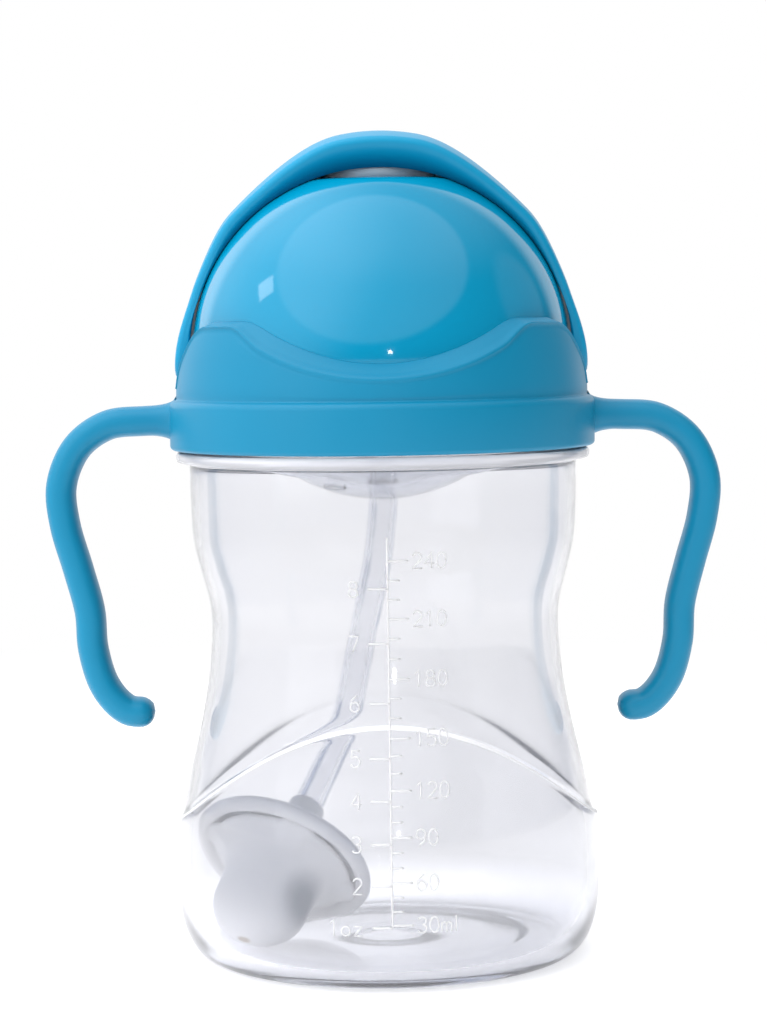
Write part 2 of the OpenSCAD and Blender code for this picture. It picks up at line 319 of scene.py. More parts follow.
def make_straw():
    """The tube, with two slight pinches. Returns it with its middle line and its length."""
    line = curve(STRAW_ROUTE, 4)

    def pinch(share, place, reach):
        return math.exp(-((share - place) / reach) ** 2)

    def outer(share):
        return TUBE_R * (1 - 0.05 * pinch(share, 0.36, 0.03) - 0.04 * pinch(share, 0.62, 0.025))

    def inner(share):
        return outer(share) - (TUBE_R - TUBE_BORE)

    rows = tube_rows(line, outer, 40) + list(reversed(tube_rows(line, inner, 40)))
    straw = grid_piece("straw", rows, "straw", "silicone", ["straw_tube"], close_rows=True)
    path = [tuple(p * MM) for p in line]
    length = sum((b - a).length for a, b in zip(line, line[1:]))
    return straw, path, length


# ---- materials

def set_inputs(tree, node, *ordered, **named):
    """Sets a node's inputs, in order or by name. Each is a plain value or another node's output."""
    sockets = list(node.inputs)[:len(ordered)] + [node.inputs[name.replace("_", " ")] for name in named]
    for socket, source in zip(sockets, [*ordered, *named.values()]):
        if isinstance(source, bpy.types.NodeSocket):
            tree.links.new(source, socket)
        else:
            socket.default_value = source
    return node


def add_node(tree, kind, *ordered, **named):
    """A new node, with its inputs set."""
    return set_inputs(tree, tree.nodes.new("ShaderNode" + kind), *ordered, **named)


def new_material(name):
    """A node material, with its tree and its main shader."""
    material = bpy.data.materials.new(name)
    material.use_nodes = True
    return material, material.node_tree, material.node_tree.nodes["Principled BSDF"]


def add_noise(tree, scale, detail=3.0):
    """Noise fixed to the object. The scale counts its waves in a metre."""
    place = add_node(tree, "TexCoord")
    noise = add_node(tree, "TexNoise", Vector=place.outputs["Object"], Scale=scale, Detail=detail)
    return noise.outputs["Fac"]


def add_range(tree, source, low, high):
    """A 0 to 1 value, stretched to run from low to high."""
    return add_node(tree, "MapRange", Value=source, To_Min=low, To_Max=high).outputs["Result"]


def add_fade(tree, source, start, end, height=1.0):
    """A smooth step from 0 to a height as a value goes from start to end."""
    fade = add_node(tree, "MapRange", Value=source, From_Min=start, From_Max=end, To_Max=height)
    fade.interpolation_type = "SMOOTHSTEP"
    return fade.outputs["Result"]


def add_bump(tree, source, strength, height):
    """A surface made uneven by a 0 to 1 value. The height is in millimetres."""
    return add_node(tree, "Bump", Height=source, Strength=strength, Distance=height * MM).outputs["Normal"]


def add_colours(tree, factor, first, second):
    """The first colour where the factor is 0, and the second where it is 1."""
    blend = tree.nodes.new("ShaderNodeMix")
    blend.data_type = "RGBA"
    return set_inputs(tree, blend, Factor=factor, A=first, B=second).outputs["Result"]


def add_distance(tree, centre):
    """How far a point of the object is from a centre, in metres."""
    place = add_node(tree, "TexCoord")
    away = add_node(tree, "VectorMath", place.outputs["Object"], centre)
    away.operation = "DISTANCE"
    return away.outputs["Value"]


def choose(tree, factor, first, second):
    """The first shader where the factor is 0, and the second where it is 1."""
    return add_node(tree, "MixShader", factor, first.outputs[0], second.outputs[0])


def add_depth(material, colour, density):
    """Light fades inside the material, so that its wall is darker where it is seen edge on."""
    tree = material.node_tree
    depth = add_node(tree, "VolumeAbsorption", Color=colour, Density=density)
    set_inputs(tree, tree.nodes["Material Output"], Volume=depth.outputs[0])


def satin_blue(name, painted_light_tone):
    """Moulded plastic with a fine spark-eroded grain. Its blue is scaled by a factor that stands in for light
    and shade: a lighter copy on the hood as painted light, a darker one on the collar as painted shade.
    """
    material, tree, shader = new_material(name)
    broad = add_noise(tree, 30)
    blue = add_colours(tree, broad, (0, 0.225 * painted_light_tone, 0.4 * painted_light_tone, 1), (0, 0.238 * painted_light_tone, 0.42 * painted_light_tone, 1))
    set_inputs(tree, shader, Base_Color=blue, Roughness=add_range(tree, broad, 0.36, 0.44), IOR=1.46,
               Specular_IOR_Level=0.35, Normal=add_bump(tree, add_noise(tree, 2600, 2), 0.12, 0.05))
    return material


def gloss_blue():
    """Polished plastic with the faint unevenness of a moulded shell."""
    material, tree, shader = new_material("gloss_blue_plastic")
    broad = add_noise(tree, 25)
    blue = add_colours(tree, broad, (0, 0.235, 0.41, 1), (0, 0.25, 0.43, 1))
    set_inputs(tree, shader, Base_Color=blue, Roughness=add_range(tree, broad, 0.05, 0.1), IOR=1.5,
               Normal=add_bump(tree, broad, 0.1, 0.3))
    return material


def plain_material(name, colour, scale, detail, roughness, bump=None, **inputs):
    """A material of one colour, whose roughness and surface vary with noise of one scale."""
    material, tree, shader = new_material(name)
    noise = add_noise(tree, scale, detail)
    set_inputs(tree, shader, Base_Color=colour, Roughness=add_range(tree, noise, *roughness), **inputs)
    if bump:
        set_inputs(tree, shader, Normal=add_bump(tree, noise, *bump))
    return material


def clear_plastic():
    """Clear polypropylene with a faint lilac cast and slow ripples from moulding."""
    material = plain_material("clear_plastic", (0.97, 0.97, 0.985, 1), 45, 1, (0.04, 0.09), (0.1, 0.3),
                              IOR=1.46, Transmission_Weight=0.93)
    add_depth(material, (0.8, 0.82, 0.9, 1), 60)
    return material


def bead_painted_light_plastic():
    """The same plastic made milky, as painted light on the bead under the collar, where the collar's shade
    and the dark inside would show.
    """
    return plain_material("bead_painted_light_plastic", (0.86, 0.86, 0.9, 1), 60, 3, (0.1, 0.2),
                          IOR=1.46, Transmission_Weight=0.55)


def frosted_marks_and_crest_highlight():
    """The same plastic where the mould was etched, so that the raised marks look white. It also paints a
    white highlight line along the crest in front.
    """
    return plain_material("frosted_marks_and_crest_highlight", (0.98, 0.98, 0.985, 1), 1800, 2, (0.3, 0.5), (0.15, 0.03),
                          IOR=1.46, Transmission_Weight=0.45)


def clear_silicone():
    """Soft clear silicone, a little milky and duller than the cup."""
    material = plain_material("clear_silicone", (0.98, 0.98, 0.985, 1), 60, 3, (0.03, 0.08), (0.15, 0.2),
                              IOR=1.45, Transmission_Weight=0.96)
    add_depth(material, (0.76, 0.8, 0.9, 1), 120)
    return material


def milky_silicone_painted_light():
    """Silicone painted milky and pale blue: partly its own milkiness, partly painted light for the pad and
    spout, which sit in the hood's shade where clear silicone looks dark.
    """
    return plain_material("milky_silicone_painted_light", (0.72, 0.84, 0.95, 1), 90, 3, (0.2, 0.3), (0.05, 0.05),
                          IOR=1.41, Transmission_Weight=0.55)


def milky_plastic():
    """Milky grey plastic, warm at its moulding gate, with painted shade on the bulb's right front side, away
    from the light, which also stands for the steel core showing through.
    """
    material, tree, shader = new_material("milky_plastic")
    broad = add_noise(tree, 70)
    # Painted shade: a dark patch, centred off the bulb's middle towards its right front, where less light
    # falls.
    painted_shade_spot = weight_place() @ Vector((0, 0, BULB_MID)) + Vector((7.2, -3.5, 1.0))
    gate = weight_place() @ Vector((0, 0, BULB_MID - BULB_R))
    colour = add_colours(tree, broad, (0.92, 0.915, 0.91, 1), (0.97, 0.965, 0.96, 1))
    away = add_fade(tree, add_distance(tree, painted_shade_spot * MM), 1.5 * MM, 7 * MM)
    colour = add_colours(tree, away, (0.3, 0.33, 0.38, 1), colour)
    away = add_fade(tree, add_distance(tree, gate * MM), 0.5 * MM, 1.6 * MM)
    colour = add_colours(tree, away, (0.5, 0.42, 0.34, 1), colour)
    set_inputs(tree, shader, Base_Color=colour, Roughness=add_range(tree, broad, 0.3, 0.42), IOR=1.47,
               Subsurface_Weight=0.5, Subsurface_Scale=2.5 * MM, Subsurface_Radius=(1, 1, 1),
               Normal=add_bump(tree, add_noise(tree, 1500, 2), 0.1, 0.04))
    return material


def plain_steel():
    """Steel with a faint grain."""
    return plain_material("steel", (0.6, 0.6, 0.62, 1), 900, 3, (0.2, 0.35), Metallic=1.0)


def pale_floor():
    """A pale table that turns into the white of the room, nearer by where it is seen through the cup."""
    material, tree, shader = new_material("pale_floor")
    set_inputs(tree, shader, Base_Color=(0.8, 0.8, 0.81, 1), Roughness=0.8, Specular_IOR_Level=0.1,
               Emission_Color=(1, 1, 1, 1), Emission_Strength=0.55)
    away = add_distance(tree, (0, 0, 0))
    path = add_node(tree, "LightPath")
    through = add_node(tree, "Math", add_fade(tree, away, 0.04, 0.09), path.outputs["Is Transmission Ray"])
    through.operation = "MULTIPLY"
    surface = choose(tree, add_fade(tree, away, 0.1, 0.5), shader, add_node(tree, "Emission", Strength=1.0))
    surface = choose(tree, through.outputs[0], surface, add_node(tree, "Emission", Strength=1.04))
    set_inputs(tree, tree.nodes["Material Output"], Surface=surface.outputs[0])
    return material


def paint(material, *pieces):
    """Gives pieces one material in place of any they had."""
    for piece in pieces:
        piece.data.materials.clear()
        piece.data.materials.append(material)


# ---- cup

CUP_LINE = [(p.x, p.y) for p in curve(STATIONS, 8)]

# How far the wall stands out near the crest, as (height above the crest, share of the step).
CREST_SHAPE = [
    (-2.2, 1.0), (-1.2, 1.02), (-0.7, 1.06), (-0.35, 1.04), (-0.1, 0.93), (0.1, 0.74), (0.35, 0.52),
    (0.7, 0.32), (1.1, 0.16), (1.6, 0.06), (2.2, 0.0),
]


def corner_point(share, swell):
    """The rounded corner from the foot to the belly, as (radius, height); share runs from 0 to 1."""
    a = share * math.pi / 2
    r = FOOT_R + (PLAIN_R + swell - FOOT_R) * math.sin(a) ** CORNER_BEND
    return r, BELLY_Z * (1 - max(0.0, math.cos(a)) ** CORNER_BEND)


def crest_height(azimuth):
    """Height of the arched crest at an azimuth. It is highest at the front and a little lower behind.

    The arch is a parabola as seen from the front, so its height is found by repeated half steps.
    """
    top = CREST_TOP if math.cos(azimuth) > 0 else CREST_TOP_BEHIND
    z = top
    for _ in range(30):
        x = along(CUP_LINE, z) * math.sin(azimuth)
        z = mix(z, top - (top - CREST_LOW) * (x / PLAIN_R) ** 2, 0.5)
    return z


def crest_spread(azimuth):
    """How much taller than at the front the crest's step is drawn. It is gentle behind."""
    return mix(SPREAD_BEHIND, 1, ease(math.cos(azimuth), -0.6, 0))


def cup_radius(z, azimuth):
    """The outer radius of the cup at a height."""
    if z < BELLY_Z:
        share = math.acos((1 - z / BELLY_Z) ** (1 / CORNER_BEND)) * 2 / math.pi
        return corner_point(share, CREST_STEP)[0]
    above = (z - crest_height(azimuth)) / crest_spread(azimuth)
    return along(CUP_LINE, z) + CREST_STEP * along([(-99, 1.0)] + CREST_SHAPE + [(99, 0.0)], above)


def base_line():
    """The underside, from its middle over the fine ring round the gate to the foot ring."""
    line = [(0, BASE_Z), (3, BASE_Z)]
    line += [(GATE_R + out, BASE_Z - drop)
             for out, drop in ((-0.5, 0), (-0.2, 0.1), (0, 0.25), (0.2, 0.1), (0.5, 0))]
    line += [(12, BASE_Z), (18, BASE_Z), (FOOT_INNER_R - 1.4, BASE_Z)]
    line += [(FOOT_INNER_R + out, z) for out, z in ((-0.8, 0.85), (-0.3, 0.3), (0.2, 0.05), (0.8, 0))]
    return line + [(FOOT_R - 1, 0)]


def wall_line(azimuth):
    """The outside at an azimuth, from the foot over the crest to the bead."""
    crest = crest_height(azimuth)
    spread = crest_spread(azimuth)
    low = crest + spread * CREST_SHAPE[0][0]
    high = crest + spread * CREST_SHAPE[-1][0]
    stations = [(z, 1) for z in spaced(BELLY_Z, low, 10)[1:-1]]
    stations += [(crest + spread * rise, share) for rise, share in CREST_SHAPE]
    stations += [(z, 0) for z in spaced(high, BEAD_LOW - 0.6, 55)[1:]]
    line = [corner_point(share, CREST_STEP) for share in spaced(0, 1, 18)]
    return line + [(along(CUP_LINE, z) + CREST_STEP * share, z) for z, share in stations]


def neck_line():
    """The outside from the bead to the rim's rounded edge."""
    neck = along(CUP_LINE, BEAD_LOW)
    return [
        (neck + 0.1, BEAD_LOW - 0.3), (neck + 0.4, BEAD_LOW - 0.05),
        (BEAD_R - 0.7, BEAD_LOW + 0.05), (BEAD_R - 0.2, BEAD_LOW + 0.25), (BEAD_R, BEAD_LOW + 0.7),
        (BEAD_R, BEAD_HIGH - 0.7), (BEAD_R - 0.2, BEAD_HIGH - 0.2), (BEAD_R - 0.7, BEAD_HIGH),
        (RIM_R + 0.3, BEAD_HIGH + 0.05), (RIM_R, BEAD_HIGH + 0.4), (RIM_R, RIM_Z - 0.4),
        (RIM_R - 0.4, RIM_Z), (RIM_R - WALL + 0.4, RIM_Z), (RIM_R - WALL, RIM_Z - 0.4),
    ]


def inside_line():
    """The inside, from the neck down to the middle of the floor."""
    line = [(along(CUP_LINE, z) - WALL, z) for z in spaced(NECK_TOP, BELLY_Z, 64)]
    for share in spaced(1, 0, 15)[1:-1]:
        r, z = corner_point(share, 0)
        line.append((r - WALL, FLOOR_Z + z * (BELLY_Z - FLOOR_Z) / BELLY_Z))
    return line + [(r, FLOOR_Z) for r in (FOOT_R - WALL - 1, 22, 14, 6, 0)]


def make_cup():
    """The clear shell. Its wall's line changes round the cup, because the crest is arched."""
    base = base_line()
    neck = neck_line()
    inside = inside_line()
    columns = []
    for azimuth in whole_turn(ROUND):
        line = base + wall_line(azimuth) + neck + inside
        columns.append([around(r, z, azimuth) for r, z in line])
    return grid_piece("cup_shell", list(zip(*columns)), "cup", "clear_cup", ["cup"])


def paint_cup(piece, marks_and_highlight, bead_painted_light):
    """A white highlight painted in a thin line along the crest in front, and painted light on the bead under
    the collar, where the collar's shade falls.
    """
    highlight_half = 0.36
    drop = 0.1
    piece.data.materials.append(marks_and_highlight)
    piece.data.materials.append(bead_painted_light)
    for face in piece.data.polygons:
        x, y, z = face.center / MM
        r = math.hypot(x, y)
        # Painted light: the bead under the collar gets the milky plastic, which lightens the collar's shade
        # on it.
        if z > BEAD_LOW - 0.4 and r > RIM_R + 0.2:
            face.material_index = 2
        # Painted highlight: faces in a thin band just under the crest in front get the etched white, standing
        # in for the top light shining on the crest.
        elif y < 0 and CREST_LOW - 1 < z < CREST_TOP + 1 and r > along(CUP_LINE, z) - WALL / 2:
            if abs(z - crest_height(math.atan2(x, -y)) + drop) < highlight_half:
                face.material_index = 1


def make_thread():
    """The screw thread on the neck: one rounded rib that fades out at both ends."""
    rows = []
    for share in spaced(0, 1, 160):
        turn = 2 * math.pi * THREAD_TURNS * share
        z = THREAD_START + THREAD_PITCH * THREAD_TURNS * share
        out = THREAD_OUT * ease(min(share, 1 - share), 0, 1 / 12)
        half = [(-0.1, -0.55), (0.7 * out, -0.4), (out, -0.12)]
        section = half + [(r, -h) for r, h in reversed(half)]
        rows.append([Vector(((RIM_R + r) * math.cos(turn), (RIM_R + r) * math.sin(turn), z + h))
                     for r, h in section])
    return grid_piece("cup_thread", rows, "cup", "clear_cup", caps=True)


def bow(cx, cy, rx, ry, start=0, end=360):
    """Part of an oval, as a stroke of a sign."""
    angles = [math.radians(a) for a in spaced(start, end, max(6, round(abs(end - start) / 24)))]
    return [(cx + rx * math.cos(a), cy + ry * math.sin(a)) for a in angles]


# The strokes of each sign of the volume scale, in a box 0.6 wide and 1 high.
SIGNS = {
    "0": [bow(0.3, 0.5, 0.28, 0.5)],
    "1": [[(0.12, 0.8), (0.32, 1), (0.32, 0)]],
    "2": [bow(0.3, 0.72, 0.27, 0.28, 165, -30) + [(0.02, 0), (0.6, 0)]],
    "3": [bow(0.28, 0.75, 0.26, 0.25, 150, -80), bow(0.28, 0.27, 0.29, 0.27, 85, -150)],
    "4": [[(0.45, 0), (0.45, 1), (0, 0.32), (0.6, 0.32)]],
    "5": [[(0.55, 1), (0.1, 1), (0.06, 0.56)] + bow(0.28, 0.32, 0.29, 0.32, 130, -150)],
    "6": [bow(0.3, 0.3, 0.28, 0.3), [(0.03, 0.36), (0.1, 0.72), (0.42, 1)]],
    "7": [[(0, 1), (0.58, 1), (0.22, 0)]],
    "8": [bow(0.3, 0.75, 0.24, 0.25), bow(0.3, 0.26, 0.29, 0.26)],
    "9": [bow(0.3, 0.7, 0.28, 0.3), [(0.57, 0.64), (0.5, 0.28), (0.18, 0)]],
    "m": [[(0, 0), (0, 0.6)], bow(0.15, 0.42, 0.15, 0.18, 180, 0) + [(0.3, 0)],
          bow(0.45, 0.42, 0.15, 0.18, 180, 0) + [(0.6, 0)]],
    "l": [[(0.15, 0), (0.15, 1)]],
    "o": [bow(0.3, 0.3, 0.27, 0.3)],
    "z": [[(0.05, 0.6), (0.55, 0.6), (0.05, 0), (0.58, 0)]],
}

# The marks of the volume scale, as (label, height).
ML_MARKS = [
    ("30ml", 12.3), ("60", 19.5), ("90", 27.1), ("120", 34.8), ("150", 43.4), ("180", 53.2), ("210", 63.4),
    ("240", 73.5),
]
OZ_MARKS = [
    ("1oz", 11.9), ("2", 19.0), ("3", 26.0), ("4", 33.1), ("5", 40.1), ("6", 49.1), ("7", 59.2), ("8", 68.7),
]
SCALE_X = 0.5
LONG_MARK = 3.5
SHORT_MARK = 2.0
OZ_MARK = 3.4
LABEL_H = 2.7
LABEL_HALF = 0.15
LINE_HALF = 0.17
MARK_HALF = 0.2


def on_front(x, z, lift):
    """A point of the cup's front wall, lifted off it, at a distance x from the middle."""
    azimuth = math.asin(x / cup_radius(z, 0))
    return around(cup_radius(z, azimuth) + lift, z, azimuth)


def add_stroke(bm, points, half):
    """A raised moulded line on the cup's front wall, through (x, height) points."""
    longest = 0.8
    lift = 0.06
    flat = []
    for a, b in zip(points, points[1:]):
        steps = max(1, math.ceil(math.dist(a, b) / longest))
        flat += list(zip(spaced(a[0], b[0], steps), spaced(a[1], b[1], steps)))[:-1]
    flat.append(points[-1])
    line = [on_front(x, z, lift) for x, z in flat]
    add_grid(bm, tube_rows(line, half, 8), caps=True)


def add_label(bm, text, x, z):
    """A label whose first sign starts at x, with its middle at height z."""
    for sign in text:
        for stroke in SIGNS[sign]:
            points = [(x + across * LABEL_H, z + (up - 0.5) * LABEL_H) for across, up in stroke]
            add_stroke(bm, points, LABEL_HALF)
        x += (0.45 if sign == "l" else 0.76) * LABEL_H


def make_scale():
    """The raised volume scale: millilitres to the right of the upright line, ounces to the left."""
    bm = bmesh.new()
    add_stroke(bm, [(SCALE_X, 12.0), (SCALE_X, 77.5)], LINE_HALF)
    for text, z in ML_MARKS:
        add_stroke(bm, [(SCALE_X, z), (SCALE_X + LONG_MARK, z)], MARK_HALF)
        add_label(bm, text, SCALE_X + LONG_MARK + 0.7, z)
    for (_, low), (_, high) in zip(ML_MARKS, ML_MARKS[1:]):
        for z in spaced(low, high, 3)[1:-1]:
            add_stroke(bm, [(SCALE_X, z), (SCALE_X + SHORT_MARK, z)], LINE_HALF)
    for text, z in OZ_MARKS:
        width = 2.05 * (len(text) - 0.2)
        add_stroke(bm, [(SCALE_X, z), (SCALE_X - OZ_MARK, z)], MARK_HALF)
        add_label(bm, text, SCALE_X - OZ_MARK - 1.6 - width, z)
    return finish_mesh("volume_scale", bm, "cup")


# ---- collar and handles

WING_LINE = [(p.x, p.y) for p in curve(WING_SIDE, 4)] + [(99, PEAK_Z + 3)]
SHOULDER_LINE = [(p.x, p.y) for p in curve(SHOULDER, 4)]


def collar_top(azimuth):
    """Height of the collar's top edge: two rounded wings at the front, a valley between, flat at the back.

    The lower of two curves is taken, with a rounded joint: the valley's wave, as seen from the front,
    and the wing's edge, as seen from the side.
    """
    across = WAVE_R * math.sin(azimuth)
    forward = WING_R * math.cos(azimuth)
    if forward <= WING_SIDE[0][0]:
        return BACK_Z
    full = PEAK_Z - VALLEY_Z
    rise = WAVE_BEND * across ** 2
    share = max(0.0, min(1.0, 0.5 + 0.5 * (full - rise) / WAVE_ROUND))
    wave = VALLEY_Z + mix(full, rise, share) - WAVE_ROUND * share * (1 - share)
    side = along(WING_LINE, forward)
    total = sum(math.exp(-WING_SHARP * (z - BACK_Z)) for z in (wave, side))
    return BACK_Z + max(0.0, -math.log(total) / WING_SHARP)


def collar_bore(z):
    """The collar's inner radius, which follows the dome and just touches it."""
    return math.sqrt(DOME_R ** 2 - (z - HINGE_Z) ** 2) - 0.03


def collar_outline(azimuth):
    """The collar's closed outline at an azimuth, as (radius, height)."""
    top = collar_top(azimuth)
    turned = math.degrees(abs(math.remainder(azimuth, 2 * math.pi)))
    lip = mix(LIP_H + 0.4 * ease(turned, 0, 30), 0.8, ease(turned, 35, 48))
    lip = min(lip, 0.55 * (top - LEDGE_Z))
    low = top - lip
    edge = along(SHOULDER_LINE, low)
    inner = collar_bore(top)
    rounding = min(0.8, 0.38 * lip, 0.38 * (edge - inner))

    # The band and its ledge, and the shoulder up to the lip
    foot_r = 0.8
    ledge_r = 1.4
    shoulder_from = LEDGE_Z + 0.35
    outline = [(COLLAR_BORE, COLLAR_LOW + 0.3), (COLLAR_BORE + 0.3, COLLAR_LOW)]
    outline += arc((COLLAR_R - foot_r, COLLAR_LOW + foot_r), foot_r, -90, 0, 5)
    outline += arc((COLLAR_R - ledge_r, LEDGE_Z - ledge_r), ledge_r, 0, 78, 8)
    outline += [(SHOULDER[0][1] - 0.02, LEDGE_Z + 0.06), (SHOULDER[0][1] - 0.1, shoulder_from)]
    outline += [(along(SHOULDER_LINE, z), z) for z in spaced(shoulder_from, low - rounding, 13)[1:-1]]

    # The lip: a rounded ridge, then a slope up to the dome
    start = Vector((edge, low))
    end = Vector((inner, top))
    slope = (end - start).normalized()
    below = Vector((edge, low - rounding))
    for t in spaced(0, 1, 4):
        corner = below * (1 - t) ** 2 + start * (2 * t * (1 - t)) + (start + slope * rounding) * t * t
        outline.append((corner.x + RIDGE * 4 * t * (1 - t), corner.y))
    outline += [tuple(start.lerp(end, t)) for t in (0.4, 0.6, 0.8)]
    outline += [tuple(end - slope * 0.2), tuple(end), (inner, top - 0.1)]

    # The bore down to the dome's flange, which the collar clamps
    for share in (0.3, 0.6, 1):
        z = mix(top - 0.1, FLANGE_TOP, share)
        outline.append((collar_bore(z), z))
    outline += [(collar_bore(FLANGE_TOP) + 1, FLANGE_TOP), (COLLAR_BORE - 0.3, FLANGE_TOP)]
    return outline + [(COLLAR_BORE, FLANGE_TOP - 0.3)]


def make_collar():
    """The screw collar, without its handles."""
    columns = [[around(r, z, a) for r, z in collar_outline(a)] for a in whole_turn(360)]
    return grid_piece("collar", list(zip(*columns)), "lid", "satin_blue", ["handle_collar"], close_rows=True)


def handle_rows(side):
    """Rounded rows along a handle, which widen into the collar and close at the rounded tip."""
    line = curve([Vector((x, 0, z)) for x, z in HANDLE_LINE], 8)
    total = sum((b - a).length for a, b in zip(line, line[1:]))
    reach = 0.0
    rows = []
    for i, here in enumerate(line):
        ahead = (line[min(i + 1, len(line) - 1)] - line[max(i - 1, 0)]).normalized()
        reach += (here - line[max(i - 1, 0)]).length
        root = 1 - math.sqrt(1 - max(0.0, 1 - reach / ROOT_LEN) ** 2)
        close = math.sqrt(max(0.0, 1 - max(0.0, 1 - (total - reach) / (HANDLE_T / 2)) ** 2))
        half_t = (HANDLE_T / 2 + ROOT_MORE_T * root) * close
        half_w = (HANDLE_W / 2 + ROOT_MORE_W * root) * mix(0.35, 1, close) * (close > 0)
        normal = Vector((-ahead.z, 0, ahead.x))
        row = []
        for angle in whole_turn(28):
            u, v = squared(angle, half_t, half_w, 0.8, 0.8)
            point = here + normal * u
            row.append(Vector((side * point.x, v, point.z)))
        rows.append(row)
    return rows


def make_handles():
    """The two open handles, which are mirror images."""
    return [grid_piece(name, handle_rows(side), "lid", "satin_blue", caps=True)
            for name, side in (("handle_left", -1), ("handle_right", 1))]


# ---- dome, hood and bowl

def make_dome():
    """A round shell with a flat top, a hole for the stem, and a flange for the collar to clamp."""
    flat_r = math.sqrt(DOME_R ** 2 - (DOME_FLAT_Z - HINGE_Z) ** 2)
    top = math.degrees(math.atan2(DOME_FLAT_Z - HINGE_Z, flat_r))
    hole = TUBE_R + 0.4
    outline = [(FLANGE_R, FLANGE_LOW), (FLANGE_R, FLANGE_TOP - 0.2), (DOME_R + 0.2, FLANGE_TOP - 0.1)]
    outline += arc((0, HINGE_Z), DOME_R, -10, top - 1.2, 60)
    outline += [(flat_r - 0.7, DOME_FLAT_Z - 0.02), (hole + 0.3, DOME_FLAT_Z), (hole, DOME_FLAT_Z - 0.3)]
    outline += [(hole, DOME_FLAT_Z - DOME_WALL)]
    outline += arc((0, HINGE_Z), DOME_R - DOME_WALL, top - 2, -12, 40)
    outline += [(DOME_R - DOME_WALL, FLANGE_LOW)]
    return grid_piece("dome", turn_rows(outline), "lid", "gloss_blue", ["lid_dome"], close_rows=True)


def hood_limits(h):
    """The hood's front and back edge, as y, at a height above the hinge."""
    if h < 0:
        half = math.sqrt(max(0.0, ARM_HALF ** 2 - h * h))
        return -half, half
    spread = (h / BRIM_H) ** 1.5
    return -ARM_HALF - BRIM_FRONT * spread, ARM_HALF + BRIM_BACK * spread


def fillet(inside, r):
    """How far a rounded edge of radius r has fallen at a distance inside the outline."""
    left = max(0.0, 1 - max(0.0, inside) / r)
    return r * (1 - math.sqrt(max(0.0, 1 - left * left)))


def hood_point(lean, share, outer):
    """A point of the hood's skin. lean is the angle from straight up towards an arm, in radians."""
    turned = abs(math.degrees(lean))
    r = HOOD_IN
    if outer:
        crown = CROWN * (1 - ease(HOOD_OUT * abs(math.sin(lean)), 26, 33))
        r = HOOD_OUT + FLARE * ease(turned, 72, 96) + crown
    across = abs(r * math.sin(lean))
    lift = BRIM_LIFT * (1 - ease(across, 7, 26)) if outer else 0
    h_mid = r * math.cos(lean) + lift
    front, back = hood_limits(h_mid)
    y = mix(front, back, share)
    inside = min(y - front, back - y)
    if h_mid < 0:
        inside = ARM_HALF - math.hypot(y, h_mid)
    if outer:
        fall = fillet(inside, 1.1)
        y_base = y * (r / (r + lift))
    else:
        lift = CAVITY_LIFT * (1 - ease(across, 6, 12)) * ease(inside, 1.8, 2.6)
        fall = mix(0.22, -0.6, ease(turned, 68, 86)) * fillet(inside, 1.2) / 1.2
        y_base = y
    ring_r = math.sqrt(r * r - y_base * y_base)
    point = Vector((ring_r * math.sin(lean), y_base, ring_r * math.cos(lean)))
    out = math.hypot(point.y, point.z)
    if out > 1e-6:
        point.y *= (out + lift) / out
        point.z *= (out + lift) / out
    point -= point.normalized() * fall
    return point + Vector((0, 0, HINGE_Z))


def hood_shares(lean):
    """Places across the hood, closer together near its rounded edges, and all of them where it is narrow."""
    front, back = hood_limits(HOOD_OUT * math.cos(lean))
    width = max(0.05, back - front)
    narrow = min(1, width / 4.4)
    near = [d * narrow / width for d in (0, 0.02, 0.09, 0.2, 0.36, 0.56, 0.8, 1.1, 1.5)]
    middle = spaced(near[-1], 1 - near[-1], 15)[1:-1]
    return near + middle + [1 - d for d in reversed(near)]


def make_hood():
    """A band over the dome, from one arm's round end to the other's, widest at the brim."""
    tip = math.degrees(math.asin(ARM_HALF / HOOD_OUT))
    ends = [90 + tip * math.sin(math.radians(a)) for a in (12, 24, 36, 48, 58, 67, 75, 81, 86, 89.4)]
    rows = []
    for degrees in [-a for a in reversed(ends)] + spaced(-90, 90, 120) + ends:
        lean = math.radians(degrees)
        shares = hood_shares(lean)
        outside = [hood_point(lean, share, True) for share in shares]
        inside = [hood_point(lean, share, False) for share in reversed(shares)]
        rows.append(outside + inside)
    return grid_piece("hood", rows, "hood", "satin_blue", ["flip_hood"], caps=True)


def make_studs():
    """The two round studs that the hood turns on."""
    outline = rounded([(0, STUD_FROM), (STUD_R, STUD_FROM), (STUD_R, STUD_TO), (0, STUD_TO)], 0.4)
    pieces = []
    for name, side in (("stud_left", -1), ("stud_right", 1)):
        rows = [[Vector((side * x, r * math.cos(a), HINGE_Z + r * math.sin(a))) for a in whole_turn(48)]
                for r, x in outline]
        pieces.append(grid_piece(name, rows, "hood", "satin_blue", close_rows=True))
    return pieces


def make_bowl():
    """A round bowl that the stem passes through, with a lip that sits inside the cup's rim."""
    lip_z = RIM_Z + 0.1
    top_z = lip_z + 1.0
    lip_r = RIM_R - WALL - 0.5
    hole = TUBE_R + 0.02

    def angles(r):
        """Where the lip and the hole cut a sphere of radius r, in degrees."""
        return math.degrees(math.asin((lip_z - BOWL_Z) / r)), -math.degrees(math.acos(hole / r))

    inner_r = BOWL_R - BOWL_WALL
    start, end = angles(BOWL_R)
    inner_start, inner_end = angles(inner_r)
    outline = arc((0, BOWL_Z), BOWL_R, start, end, 40)
    outline += arc((0, BOWL_Z), inner_r, inner_end, inner_start, 40)
    outline += [(26, top_z), (lip_r, top_z), (lip_r, lip_z)]
    return grid_piece("bowl", turn_rows(outline, 160), "lid", "silicone", ["valve_bowl"], close_rows=True)


